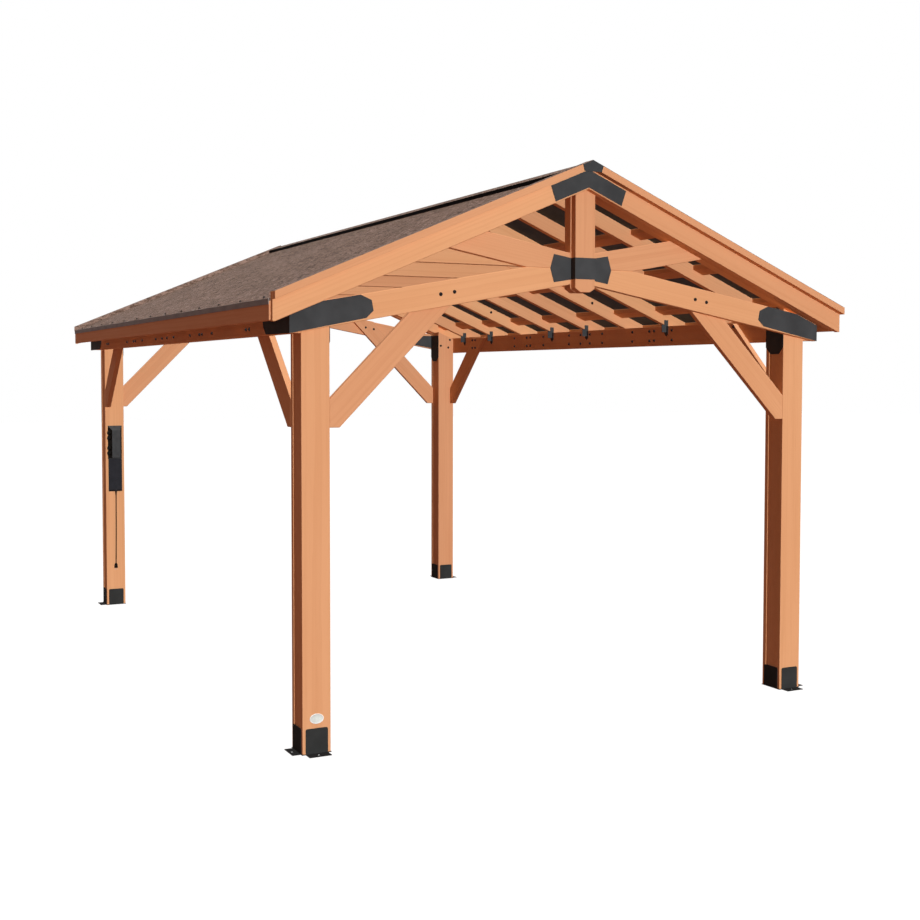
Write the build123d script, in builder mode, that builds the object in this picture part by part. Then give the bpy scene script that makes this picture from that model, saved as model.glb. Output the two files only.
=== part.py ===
# Garden gazebo: open timber frame on four posts under a gabled sheet roof.
# Millimetres. X runs across the gable, Y along the ridge and Z up from the ground,
# and the origin is on the ground under the middle of the ridge.
# A "level" is the height of a sloping line carried on to the ridge, at X = 0.
from build123d import *
import os
from math import cos, radians, tan

os.makedirs("parts", exist_ok=True)

sides = {"left": -1, "right": 1}
ends = {"front": -1, "back": 1}

# Posts
post_size = 140.0
post_span_x = 2977.0
post_span_y = 4411.0
post_board = 26.0
post_recess = 3.0

# Beams along the sides
beam_thick = 65.0
beam_height = 125.8
beam_bottom = 1952.0

# Roof: pitch, and how far its lines lie above or below each other
roof_pitch = 5 / 12
rafter_depth = 86.5
truss_depth = 94.5
barge_drop = 3.0
rake_rise = 40.0
trim_height = 36.0
roof_thick = 13.5
eave_reach = 113.5
board_joint = 0.6

# Rafters and the boards between them
rafter_thick = 38.0
rafter_count = 9
end_bay = 304.8
truss_rafter_thick = 65.0
tie_width = 89.0
tie_clear = 425.0
blocking_count = 3
blocking_first = 547.0
blocking_clear = 22.5
blocking_width = 69.0
blocking_thick = 28.0

# Gable frames
chord_thick = 32.0
chord_width = 122.5
chord_angle = 10.12
chord_drop = 2.8
strut_rise = 11.5
king_width = 125.0
king_depth = 94.5
king_proud = 39.5
king_step = 4.5
king_tail = 50.5
king_chamfer_run = 30.0
king_chamfer_rise = 19.0

# Boards along the gables and the eaves
gable_rafter_thick = 41.5
barge_thick = 28.0
barge_short = 7.0
barge_toe_drop = 5.0
trim_thick = 37.0
fascia_thick = 28.0
fascia_height = 84.5

# Knee braces
brace_thick = 32.0
brace_width = 128.0
brace_drop = 434.5
brace_seat = 131.0
brace_top_drop = 10.0

# Sheet metal on the roof
flashing_gauge = 1.5
drip_gauge = 3.0
drip_drop = 13.0
ridge_half = 100.0
ridge_height = 22.0

# Steel plates and brackets
steel_gauge = 3.0
shoe_width = 111.0
shoe_height = 121.0
shoe_corner = 10.0
end_flange_reach = 54.0
side_flange_reach = 45.0
anchor_reach = 27.0
anchor_radius = 7.0
heel_reach = 415.0
heel_inset = 2.0
heel_gap = 1.0
heel_tip_rise = 38.5
heel_nose = ((65.0, 73.0), (9.0, 49.0), (0.0, 0.0), (37.0, -35.0))
heel_side_reach = 375.0
heel_side_nose = ((0.0, 62.0), (6.0, 38.0), (45.0, 3.0))
corner_leg_drop = 74.0
corner_leg_rise = 146.0
corner_chamfer = 38.0
corner_wing_reach = 153.0
corner_wing_inset = 6.0
tie_height = 107.0
tie_wing_reach = 102.0
tie_wing_height = 141.0
tie_point_reach = 123.0
peak_reach = 221.0
peak_taper = 27.0
peak_rise = 7.0
peak_gap = 6.5
cap_reach = 60.0
cap_taper = 9.5
clip_rafter_counts = (2, 4, 5, 7, 8)
clip_width = 37.0
clip_lead = 15.0
clip_drop = 50.0
clip_point = 17.0
clip_top_gap = 1.0
clip_body_reach = 39.0
clip_body_drop = 40.0
clip_body_rise = 10.0
clip_tab_in = 19.0
clip_tab_out = 11.0
clip_tab_height = 38.5

# Socket box, its cable and the oval plate
box_width = 106.0
box_front = 62.0
box_depth = 54.0
box_bottom = 1123.0
box_height = 252.0
box_top_bevel = 34.0
box_low_bevel = 8.0
socket_radius = 16.0
socket_proud = 16.0
socket_rows = (42.0, 82.0, 158.0, 198.0)
panel_width = 100.0
panel_depth = 14.0
panel_height = 250.0
gland_radius = 8.0
gland_height = 16.0
cord_diameter = 8.0
cord_gap = 26.0
cord_length = 549.0
cord_knee = 273.0
cord_drift = -5.0
plug_width = 27.0
plug_depth = 22.0
plug_height = 38.0
blade_width = 7.0
blade_gap = 12.7
blade_thick = 1.6
blade_length = 17.0
oval_width = 70.0
oval_height = 48.0
oval_thick = 2.0
oval_centre = 165.0

# Lines of the posts and of the boards that stand on and around them
post_x = post_span_x / 2
post_y = post_span_y / 2
post_mid_x = post_x - post_size / 2
post_mid_y = post_y - post_size / 2
post_in_x = post_x - post_size
post_in_y = post_y - post_size
beam_outer = post_x + beam_thick
chord_face = post_y + chord_thick
gable_face = chord_face + gable_rafter_thick
barge_face = gable_face + barge_thick
trim_face = barge_face + trim_thick
truss_back = chord_face - truss_rafter_thick
fascia_outer = beam_outer + eave_reach
tail_x = fascia_outer - fascia_thick
barge_end = fascia_outer - barge_short

# Levels of the roof lines, from the beam tops up
rafter_level = beam_bottom + beam_height + roof_pitch * post_x
deck_level = rafter_level + rafter_depth
sheet_level = deck_level + roof_thick
truss_level = deck_level - truss_depth
barge_level = truss_level - barge_drop
rake_level = deck_level + rake_rise
trim_level = rake_level - trim_height

# Chords and struts fall and rise from the king post at one angle
chord_slope = tan(radians(chord_angle))
chord_height = chord_width / cos(radians(chord_angle))
chord_level = beam_bottom - chord_drop + chord_slope * beam_outer
chord_top_level = chord_level + chord_height
strut_level = chord_level + strut_rise
strut_top_level = strut_level + chord_height
mitre_level = (chord_top_level + strut_level) / 2

# Rows of rafters and of the boards between them
rafter_spacing = 2 * (truss_back - end_bay) / (rafter_count - 1)
rafter_rows = [(i - (rafter_count - 1) / 2) * rafter_spacing for i in range(rafter_count)]
blocking_last = post_x - blocking_clear - blocking_width
blocking_pitch = (blocking_last - blocking_first) / (blocking_count - 1)
blocking_rows = [blocking_first + i * blocking_pitch for i in range(blocking_count)]


# Height at X = x of the roof line with this level
def roof_z(level, x):
    return level - roof_pitch * abs(x)


# X where a line that falls by slope per millimetre meets the roof line
def meet_x(roof_line, level, slope):
    return (roof_line - level) / (roof_pitch + slope)


# Height at X = x of the underside of a lower chord
def chord_z(x):
    return chord_level - chord_slope * x


# Upright plane across the part, for work that runs out from near to far
def cross_plane(end, near, far):
    return Plane.XZ.offset(near if end < 0 else -far)


# Upright plane along the part, for work that runs out from near to far
def long_plane(side, near, far):
    return Plane.YZ.offset(near if side > 0 else -far)


# Face between two roof lines, from x_in to x_out on one side
def roof_strip(side, low, high, x_in, x_out):
    Polygon(
        (side * x_in, roof_z(low, x_in)),
        (side * x_out, roof_z(low, x_out)),
        (side * x_out, roof_z(high, x_out)),
        (side * x_in, roof_z(high, x_in)),
        align=None,
    )


# Roof plane at a level on one side, facing up
def slope_plane(level, side):
    return Plane(origin=(0, 0, level), x_dir=(0, 1, 0), z_dir=(side * roof_pitch, 0, 1))


# Posts: two face boards on a narrower core, cut to the slope under the rafters
for end_name, end in ends.items():
    for side_name, side in sides.items():
        with BuildPart() as post:
            with BuildSketch(Plane.XY.offset(steel_gauge)):
                with Locations((side * post_mid_x, end * post_mid_y)):
                    Rectangle(post_size - 2 * post_recess, post_size)
                with Locations(
                    (side * post_mid_x, end * (post_y - post_board / 2)),
                    (side * post_mid_x, end * (post_in_y + post_board / 2)),
                ):
                    Rectangle(post_size, post_board)
            extrude(amount=truss_level)
            split(bisect_by=slope_plane(truss_level, side), keep=Keep.BOTTOM)
        post.part.label = f"post_{end_name}_{side_name}"
        export_step(post.part, f"parts/{post.part.label}.step")

# Post shoes: a sole, four plates and two flanges with an anchor hole each
shoe_size = post_size + 2 * steel_gauge
for end_name, end in ends.items():
    for side_name, side in sides.items():
        with BuildPart() as shoe:
            with BuildSketch():
                with Locations((side * post_mid_x, end * post_mid_y)):
                    Rectangle(shoe_size, shoe_size)
                with Locations((side * (post_x + side_flange_reach / 2), end * post_mid_y)):
                    Rectangle(side_flange_reach, shoe_width)
                with Locations((side * post_mid_x, end * (post_y + end_flange_reach / 2))):
                    Rectangle(shoe_width, end_flange_reach)
                with Locations(
                    (side * (post_x + anchor_reach), end * post_mid_y),
                    (side * post_mid_x, end * (post_y + anchor_reach)),
                ):
                    Circle(anchor_radius, mode=Mode.SUBTRACT)
            extrude(amount=steel_gauge)
            for near in (post_y, post_in_y - steel_gauge):
                with BuildSketch(cross_plane(end, near, near + steel_gauge)) as plate:
                    with Locations((side * post_mid_x, shoe_height / 2)):
                        Rectangle(shoe_width, shoe_height)
                    fillet(plate.vertices().group_by(Axis.Z)[-1], shoe_corner)
                extrude(amount=steel_gauge)
            for near in (post_x, post_in_x - steel_gauge):
                with BuildSketch(long_plane(side, near, near + steel_gauge)) as plate:
                    with Locations((end * post_mid_y, shoe_height / 2)):
                        Rectangle(shoe_width, shoe_height)
                    fillet(plate.vertices().group_by(Axis.Z)[-1], shoe_corner)
                extrude(amount=steel_gauge)
        shoe.part.label = f"post_shoe_{end_name}_{side_name}"
        export_step(shoe.part, f"parts/{shoe.part.label}.step")

# Knee braces: one behind the gable chord and one on the side beam, at each post
brace_toe = brace_width * 2**0.5 - brace_seat
brace_foot = beam_bottom - brace_drop
brace_beam_top = roof_z(rafter_level, post_x) - brace_top_drop
brace_rise = brace_beam_top - brace_foot
lower_meet = (brace_foot + post_in_x - brace_toe - chord_top_level) / (1 - chord_slope)
upper_meet = (brace_foot + brace_seat + post_in_x - chord_top_level) / (1 - chord_slope)
for end_name, end in ends.items():
    for side_name, side in sides.items():
        with BuildPart() as brace:
            with BuildSketch(cross_plane(end, post_y - brace_thick, post_y)):
                Polygon(
                    (side * post_in_x, brace_foot),
                    (side * (post_in_x - brace_toe), brace_foot),
                    (side * lower_meet, chord_z(lower_meet) + chord_height),
                    (side * upper_meet, chord_z(upper_meet) + chord_height),
                    (side * post_in_x, brace_foot + brace_seat),
                    align=None,
                )
            extrude(amount=brace_thick)
            with BuildSketch(long_plane(side, post_x - brace_thick, post_x)):
                Polygon(
                    (end * post_in_y, brace_foot),
                    (end * (post_in_y - brace_toe), brace_foot),
                    (end * (post_in_y - brace_toe - brace_rise), brace_beam_top),
                    (end * (post_in_y + brace_seat - brace_rise), brace_beam_top),
                    (end * post_in_y, brace_foot + brace_seat),
                    align=None,
                )
            extrude(amount=brace_thick)
        brace.part.label = f"knee_braces_{end_name}_{side_name}"
        export_step(brace.part, f"parts/{brace.part.label}.step")

# Side beams, bevelled to the slope on top and lower under the gable frames
for side_name, side in sides.items():
    with BuildPart() as beam:
        for level, reach in ((truss_level, post_y), (rafter_level, truss_back)):
            with BuildSketch(cross_plane(-1, -reach, reach)):
                Polygon(
                    (side * post_x, beam_bottom),
                    (side * beam_outer, beam_bottom),
                    (side * beam_outer, roof_z(level, beam_outer)),
                    (side * post_x, roof_z(level, post_x)),
                    align=None,
                )
            extrude(amount=2 * reach)
    beam.part.label = f"side_beam_{side_name}"
    export_step(beam.part, f"parts/{beam.part.label}.step")

# Gable frames: lower chords, the struts above them, king post and rafters
mitre_x = (chord_top_level - strut_level) / (2 * chord_slope)
king_half = king_width / 2
king_front_half = king_half - king_step
king_bottom = chord_level - king_tail
chord_cut_x = (truss_level - chord_top_level) / (roof_pitch - chord_slope)
strut_in_x = meet_x(truss_level, strut_top_level, chord_slope)
strut_out_x = meet_x(truss_level, strut_level, chord_slope)
fascia_bottom = roof_z(deck_level, fascia_outer) - fascia_height
for end_name, end in ends.items():
    with BuildPart() as chords:
        with BuildSketch(cross_plane(end, post_y, chord_face)):
            for side in sides.values():
                Polygon(
                    (side * king_half, chord_z(king_half)),
                    (side * beam_outer, chord_z(beam_outer)),
                    (side * beam_outer, roof_z(truss_level, beam_outer)),
                    (side * chord_cut_x, roof_z(truss_level, chord_cut_x)),
                    (side * mitre_x, mitre_level),
                    (side * king_half, mitre_level),
                    align=None,
                )
        extrude(amount=chord_thick)
    chords.part.label = f"lower_chords_{end_name}"
    export_step(chords.part, f"parts/{chords.part.label}.step")

    with BuildPart() as struts:
        with BuildSketch(cross_plane(end, post_y, chord_face)):
            for side in sides.values():
                Polygon(
                    (side * king_half, mitre_level),
                    (side * mitre_x, mitre_level),
                    (side * strut_out_x, strut_level + chord_slope * strut_out_x),
                    (side * strut_in_x, strut_top_level + chord_slope * strut_in_x),
                    (side * king_half, strut_top_level + chord_slope * king_half),
                    align=None,
                )
        extrude(amount=chord_thick)
    struts.part.label = f"upper_struts_{end_name}"
    export_step(struts.part, f"parts/{struts.part.label}.step")

    with BuildPart() as king:
        for half, near, far in (
            (king_half, chord_face + king_proud - king_depth, chord_face),
            (king_front_half, chord_face, chord_face + king_proud),
        ):
            with BuildSketch(cross_plane(end, near, far)):
                Polygon(
                    (-half, king_bottom + king_chamfer_rise),
                    (king_chamfer_run - half, king_bottom),
                    (half - king_chamfer_run, king_bottom),
                    (half, king_bottom + king_chamfer_rise),
                    (half, roof_z(barge_level, half)),
                    (0, barge_level),
                    (-half, roof_z(barge_level, half)),
                    align=None,
                )
            extrude(amount=far - near)
    king.part.label = f"king_post_{end_name}"
    export_step(king.part, f"parts/{king.part.label}.step")

    with BuildPart() as truss:
        with BuildSketch(cross_plane(end, truss_back, chord_face)):
            for side in sides.values():
                roof_strip(side, truss_level, deck_level, board_joint / 2, tail_x)
        extrude(amount=truss_rafter_thick)
    truss.part.label = f"truss_rafters_{end_name}"
    export_step(truss.part, f"parts/{truss.part.label}.step")

    with BuildPart() as gable:
        with BuildSketch(cross_plane(end, chord_face, gable_face)):
            for side in sides.values():
                roof_strip(side, barge_level, deck_level, board_joint / 2, tail_x)
        extrude(amount=gable_rafter_thick)
    gable.part.label = f"gable_rafters_{end_name}"
    export_step(gable.part, f"parts/{gable.part.label}.step")

    with BuildPart() as barge:
        with BuildSketch(cross_plane(end, gable_face, barge_face)):
            for side in sides.values():
                roof_strip(side, barge_level, rake_level, board_joint / 2, barge_end)
        extrude(amount=barge_thick)
        split(bisect_by=Plane.XY.offset(fascia_bottom - barge_toe_drop), keep=Keep.TOP)
    barge.part.label = f"barge_boards_{end_name}"
    export_step(barge.part, f"parts/{barge.part.label}.step")

    with BuildPart() as trim:
        with BuildSketch(cross_plane(end, barge_face, trim_face)):
            for side in sides.values():
                roof_strip(side, trim_level, rake_level, board_joint / 2, barge_end)
        extrude(amount=trim_thick)
    trim.part.label = f"barge_trims_{end_name}"
    export_step(trim.part, f"parts/{trim.part.label}.step")

    # Metal strip over the barge boards, turned down to the roof behind them
    with BuildPart() as flashing:
        lip_back = gable_face - flashing_gauge
        with BuildSketch(cross_plane(end, lip_back, trim_face)):
            for side in sides.values():
                roof_strip(
                    side, rake_level, rake_level + flashing_gauge, board_joint / 2, barge_end
                )
        extrude(amount=trim_face - lip_back)
        with BuildSketch(cross_plane(end, lip_back, gable_face)):
            for side in sides.values():
                roof_strip(side, sheet_level, rake_level, board_joint / 2, fascia_outer)
        extrude(amount=flashing_gauge)
    flashing.part.label = f"rake_flashing_{end_name}"
    export_step(flashing.part, f"parts/{flashing.part.label}.step")

    # Plate across the king post, stepped back on to the chords at both sides
    with BuildPart() as tie:
        tie_front = chord_face + king_proud
        tie_wing_end = king_front_half + tie_wing_reach
        with BuildSketch(cross_plane(end, chord_face, tie_front + steel_gauge)):
            with Locations((0, mitre_level)):
                Rectangle(2 * (king_front_half + steel_gauge), tie_height)
                Rectangle(2 * king_front_half, tie_height, mode=Mode.SUBTRACT)
        extrude(amount=king_proud + steel_gauge)
        with BuildSketch(cross_plane(end, tie_front, tie_front + steel_gauge)):
            with Locations((0, mitre_level)):
                Rectangle(2 * (king_front_half + steel_gauge), tie_height)
        extrude(amount=steel_gauge)
        with BuildSketch(cross_plane(end, chord_face, chord_face + steel_gauge)):
            for side in sides.values():
                Polygon(
                    (side * king_front_half, mitre_level - tie_height / 2),
                    (side * tie_wing_end, mitre_level - tie_wing_height / 2),
                    (side * (king_front_half + tie_point_reach), mitre_level),
                    (side * tie_wing_end, mitre_level + tie_wing_height / 2),
                    (side * king_front_half, mitre_level + tie_height / 2),
                    align=None,
                )
        extrude(amount=steel_gauge)
    tie.part.label = f"king_tie_{end_name}"
    export_step(tie.part, f"parts/{tie.part.label}.step")

    # Plates at the peak: an angled one on the barge boards and a cap on their trims
    with BuildPart() as peak:
        peak_low = barge_level + peak_rise
        peak_high = trim_level - peak_gap
        peak_foot = peak_reach - peak_taper
        with BuildSketch(cross_plane(end, barge_face, barge_face + steel_gauge)):
            Polygon(
                (0, peak_low),
                (peak_foot, roof_z(peak_low, peak_foot)),
                (peak_reach, roof_z(peak_high, peak_reach)),
                (0, peak_high),
                (-peak_reach, roof_z(peak_high, peak_reach)),
                (-peak_foot, roof_z(peak_low, peak_foot)),
                align=None,
            )
        extrude(amount=steel_gauge)
        cap_foot = cap_reach - cap_taper
        with BuildSketch(cross_plane(end, trim_face, trim_face + steel_gauge)):
            Polygon(
                (-cap_foot, roof_z(trim_level, cap_foot)),
                (cap_foot, roof_z(trim_level, cap_foot)),
                (cap_reach, roof_z(rake_level, cap_reach)),
                (0, rake_level),
                (-cap_reach, roof_z(rake_level, cap_reach)),
                align=None,
            )
        extrude(amount=steel_gauge)
    peak.part.label = f"peak_plates_{end_name}"
    export_step(peak.part, f"parts/{peak.part.label}.step")

# Rafters between the gable frames, their feet on the side beams
for side_name, side in sides.items():
    with BuildPart() as rafters:
        for row in rafter_rows:
            with BuildSketch(Plane.XZ.offset(-row - rafter_thick / 2)):
                roof_strip(side, rafter_level, deck_level, 0, tail_x)
            extrude(amount=rafter_thick)
    rafters.part.label = f"rafters_{side_name}"
    export_step(rafters.part, f"parts/{rafters.part.label}.step")

# Collar ties, cut to fit under every second pair of rafters
with BuildPart() as collar_ties:
    tie_low = beam_bottom + tie_clear
    tie_high = tie_low + tie_width
    tie_long = (rafter_level - tie_low) / roof_pitch
    tie_short = (rafter_level - tie_high) / roof_pitch
    for row in rafter_rows[1::2]:
        with BuildSketch(Plane.XZ.offset(-row - rafter_thick / 2)):
            Polygon(
                (-tie_long, tie_low),
                (tie_long, tie_low),
                (tie_short, tie_high),
                (-tie_short, tie_high),
                align=None,
            )
        extrude(amount=rafter_thick)
collar_ties.part.label = "collar_ties"
export_step(collar_ties.part, "parts/collar_ties.step")

# Flat boards between the rafters, tight under the roof sheet
bay_edges = [-truss_back] + rafter_rows + [truss_back]
for side_name, side in sides.items():
    with BuildPart() as blocking:
        for i in range(len(bay_edges) - 1):
            start = bay_edges[i] + (rafter_thick / 2 if i > 0 else 0)
            stop = bay_edges[i + 1] - (rafter_thick / 2 if i < rafter_count else 0)
            with BuildSketch(Plane.XZ.offset(-stop)):
                for row in blocking_rows:
                    roof_strip(
                        side, deck_level - blocking_thick, deck_level, row, row + blocking_width
                    )
            extrude(amount=stop - start)
    blocking.part.label = f"blocking_{side_name}"
    export_step(blocking.part, f"parts/{blocking.part.label}.step")

# Fascia boards across the rafter tails
for side_name, side in sides.items():
    with BuildPart() as fascia:
        with BuildSketch(cross_plane(-1, -gable_face, gable_face)):
            Polygon(
                (side * tail_x, fascia_bottom),
                (side * fascia_outer, fascia_bottom),
                (side * fascia_outer, roof_z(deck_level, fascia_outer)),
                (side * tail_x, roof_z(deck_level, tail_x)),
                align=None,
            )
        extrude(amount=2 * gable_face)
    fascia.part.label = f"fascia_{side_name}"
    export_step(fascia.part, f"parts/{fascia.part.label}.step")

# Roof sheets, between the barge boards and out to the fascia
for side_name, side in sides.items():
    with BuildPart() as sheet:
        with BuildSketch(cross_plane(-1, -gable_face, gable_face)):
            roof_strip(side, deck_level, sheet_level, 0, fascia_outer)
        extrude(amount=2 * gable_face)
    sheet.part.label = f"roof_sheet_{side_name}"
    export_step(sheet.part, f"parts/{sheet.part.label}.step")

# Metal edge in front of each fascia board, up to the top of the sheet
with BuildPart() as drip_edges:
    drip_outer = fascia_outer + drip_gauge
    with BuildSketch(cross_plane(-1, -gable_face, gable_face)):
        for side in sides.values():
            Polygon(
                (side * fascia_outer, roof_z(deck_level, fascia_outer) - drip_drop),
                (side * drip_outer, roof_z(deck_level, fascia_outer) - drip_drop),
                (side * drip_outer, roof_z(sheet_level, fascia_outer)),
                (side * fascia_outer, roof_z(sheet_level, fascia_outer)),
                align=None,
            )
    extrude(amount=2 * gable_face)
drip_edges.part.label = "drip_edges"
export_step(drip_edges.part, "parts/drip_edges.step")

# Cap along the ridge, between the two turned-down flashings
with BuildPart() as ridge_cap:
    ridge_end = gable_face - flashing_gauge
    with BuildSketch(cross_plane(-1, -ridge_end, ridge_end)):
        Polygon(
            (0, sheet_level),
            (ridge_half, roof_z(sheet_level, ridge_half)),
            (ridge_half, roof_z(sheet_level + ridge_height, ridge_half)),
            (0, sheet_level + ridge_height),
            (-ridge_half, roof_z(sheet_level + ridge_height, ridge_half)),
            (-ridge_half, roof_z(sheet_level, ridge_half)),
            align=None,
        )
    extrude(amount=2 * ridge_end)
ridge_cap.part.label = "ridge_cap"
export_step(ridge_cap.part, "parts/ridge_cap.step")

# Corner plates outside the heel joints: one leg on the chord, one on the beam
heel_corner = beam_outer + steel_gauge
heel_face = chord_face + steel_gauge
heel_tip = heel_corner - heel_reach
heel_tip_z = chord_z(heel_tip) + heel_tip_rise
heel_bottom = chord_z(heel_corner) + heel_inset
heel_level = barge_level - heel_gap
heel_top = roof_z(heel_level, heel_corner)
nose_x, nose_z = heel_nose[0]
nose_level = heel_tip_z + nose_z + chord_slope * (heel_tip + nose_x)
heel_meet = (heel_level - nose_level) / (roof_pitch - chord_slope)
for end_name, end in ends.items():
    with BuildPart() as heel:
        for side in sides.values():
            with BuildSketch(cross_plane(end, chord_face, heel_face)):
                Polygon(
                    *[(side * (heel_tip + x), heel_tip_z + z) for x, z in heel_nose],
                    (side * heel_corner, heel_bottom),
                    (side * heel_corner, heel_top),
                    (side * heel_meet, roof_z(heel_level, heel_meet)),
                    align=None,
                )
            extrude(amount=steel_gauge)
            with BuildSketch(long_plane(side, beam_outer, heel_corner)):
                side_tip = heel_face - heel_side_reach
                Polygon(
                    (end * heel_face, heel_top),
                    (end * side_tip, heel_top),
                    *[(end * (side_tip + y), heel_bottom + z) for y, z in heel_side_nose],
                    (end * heel_face, heel_bottom),
                    align=None,
                )
            extrude(amount=steel_gauge)
    heel.part.label = f"heel_plates_{end_name}"
    export_step(heel.part, f"parts/{heel.part.label}.step")

# Angle plates inside the corners: one leg on the post, one on the chord
for end_name, end in ends.items():
    with BuildPart() as corner:
        for side in sides.values():
            leg_face = post_in_x - steel_gauge
            leg_bottom = beam_bottom - corner_leg_drop
            leg_top = beam_bottom + corner_leg_rise
            wing_tip = leg_face - corner_wing_reach
            with BuildSketch(long_plane(side, leg_face, post_in_x)):
                Polygon(
                    (end * post_y, leg_bottom + corner_chamfer),
                    (end * (post_y - corner_chamfer), leg_bottom),
                    (end * (post_in_y + corner_chamfer), leg_bottom),
                    (end * post_in_y, leg_bottom + corner_chamfer),
                    (end * post_in_y, leg_top),
                    (end * post_y, leg_top),
                    align=None,
                )
            extrude(amount=steel_gauge)
            with BuildSketch(cross_plane(end, post_y - steel_gauge, post_y)):
                Polygon(
                    (side * post_in_x, chord_z(post_in_x) + corner_wing_inset),
                    (side * wing_tip, chord_z(wing_tip) + corner_wing_inset),
                    (side * wing_tip, leg_top),
                    (side * post_in_x, leg_top),
                    align=None,
                )
            extrude(amount=steel_gauge)
    corner.part.label = f"corner_plates_{end_name}"
    export_step(corner.part, f"parts/{corner.part.label}.step")

# Clips that hold rafters down to the side beams, at the rafters counted from the front
for side_name, side in sides.items():
    with BuildPart() as clips:
        clip_seat = roof_z(rafter_level, post_x)
        clip_top = clip_seat - clip_top_gap
        clip_low = clip_top - clip_drop
        for i in clip_rafter_counts:
            near = rafter_rows[i] - rafter_thick / 2 - steel_gauge
            foot = near - clip_lead
            with BuildSketch(long_plane(side, post_x - steel_gauge, post_x)):
                Polygon(
                    (foot, clip_low),
                    (foot + clip_width / 2, clip_low - clip_point),
                    (foot + clip_width, clip_low),
                    (foot + clip_width, clip_top),
                    (foot, clip_top),
                    align=None,
                )
            extrude(amount=steel_gauge)
            with BuildSketch(Plane.XZ.offset(-near - steel_gauge)):
                Polygon(
                    (side * post_x, clip_top - clip_body_drop),
                    (side * post_x, clip_seat),
                    (side * (post_x + clip_tab_out), clip_seat),
                    (side * (post_x + clip_tab_out), clip_top + clip_tab_height),
                    (side * (post_x - clip_tab_in), clip_top + clip_tab_height),
                    (side * (post_x - clip_tab_in), clip_top + clip_body_rise),
                    (side * (post_x - clip_body_reach), clip_top + clip_body_rise),
                    (side * (post_x - clip_body_reach), clip_top - clip_body_drop),
                    align=None,
                )
            extrude(amount=steel_gauge)
    clips.part.label = f"rafter_clips_{side_name}"
    export_step(clips.part, f"parts/{clips.part.label}.step")

# Socket box on the back left post: bevelled housing, four socket covers on its
# left bevel, and the flat panel under it with the gland for the cable
box_x = -post_mid_x
box_middle = box_bottom + box_height / 2
panel_bottom = box_bottom - panel_height
front_middle = box_middle + (box_low_bevel - box_top_bevel) / 2
bevel_run = (box_width - box_front) / 2
bevel_mid = Vector(box_x - (box_width + box_front) / 4, post_in_y - box_depth / 2, box_bottom)
with BuildPart() as socket_box:
    with BuildSketch(Plane.XZ.offset(-post_in_y)):
        with Locations((box_x, box_middle)):
            Rectangle(box_width, box_height)
    with BuildSketch(Plane.XZ.offset(box_depth - post_in_y)):
        with Locations((box_x, front_middle)):
            Rectangle(box_front, box_height - box_low_bevel - box_top_bevel)
    loft()
    for rise in socket_rows:
        with BuildSketch(
            Plane(bevel_mid + Vector(0, 0, rise), x_dir=(0, 0, 1), z_dir=(-box_depth, -bevel_run, 0))
        ):
            Circle(socket_radius)
        extrude(amount=socket_proud)
    with BuildSketch(Plane.XZ.offset(-post_in_y)):
        with Locations((box_x, box_bottom - panel_height / 2)):
            Rectangle(panel_width, panel_height)
    extrude(amount=panel_depth)
    with BuildSketch(Plane.XY.offset(panel_bottom)):
        with Locations((box_x, post_in_y - cord_gap)):
            Circle(gland_radius)
        with Locations((box_x, post_in_y - cord_gap / 2)):
            Rectangle(2 * gland_radius, cord_gap)
    extrude(amount=gland_height)
socket_box.part.label = "socket_box"
export_step(socket_box.part, "parts/socket_box.step")

# Cable that hangs from the box, nearly straight, to its plug
cord_y = post_in_y - cord_gap
cord_start = Vector(box_x, cord_y, panel_bottom)
cord_bend = Vector(box_x, cord_y, panel_bottom - cord_knee)
cord_end = Vector(box_x + cord_drift, cord_y, panel_bottom - cord_length)
cord_turn = radians((cord_bend - cord_start).get_angle(cord_end - cord_bend))
cord_radius = 0.45 * min(cord_knee, cord_length - cord_knee) / tan(cord_turn / 2)
print("cord radii", [round(cord_radius)])
with BuildPart() as power_cord:
    with BuildLine():
        cord_path = FilletPolyline(cord_start, cord_bend, cord_end, radius=[cord_radius])
    with BuildSketch(Plane(cord_path @ 0, z_dir=cord_path % 0)):
        Circle(cord_diameter / 2)
    sweep()
power_cord.part.label = "power_cord"
export_step(power_cord.part, "parts/power_cord.step")

# Plug at the end of the cable, in line with it
plug_plane = Plane(origin=cord_end, x_dir=(1, 0, 0), z_dir=cord_path % 1)
with BuildPart() as power_plug:
    with BuildSketch(plug_plane):
        Rectangle(plug_width, plug_depth)
    extrude(amount=plug_height)
    with BuildSketch(plug_plane.offset(plug_height)):
        with GridLocations(blade_gap, 0, 2, 1):
            Rectangle(blade_thick, blade_width)
    extrude(amount=blade_length)
power_plug.part.label = "power_plug"
export_step(power_plug.part, "parts/power_plug.step")

# Bare oval plate low on the front left post
with BuildPart() as oval_plate:
    with BuildSketch(Plane.XZ.offset(post_y)):
        with Locations((-post_mid_x, oval_centre)):
            Ellipse(oval_width / 2, oval_height / 2)
    extrude(amount=oval_thick)
oval_plate.part.label = "oval_plate"
export_step(oval_plate.part, "parts/oval_plate.step")
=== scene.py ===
import math
import random
import bmesh
import bpy
from mathutils import Matrix, Vector


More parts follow.
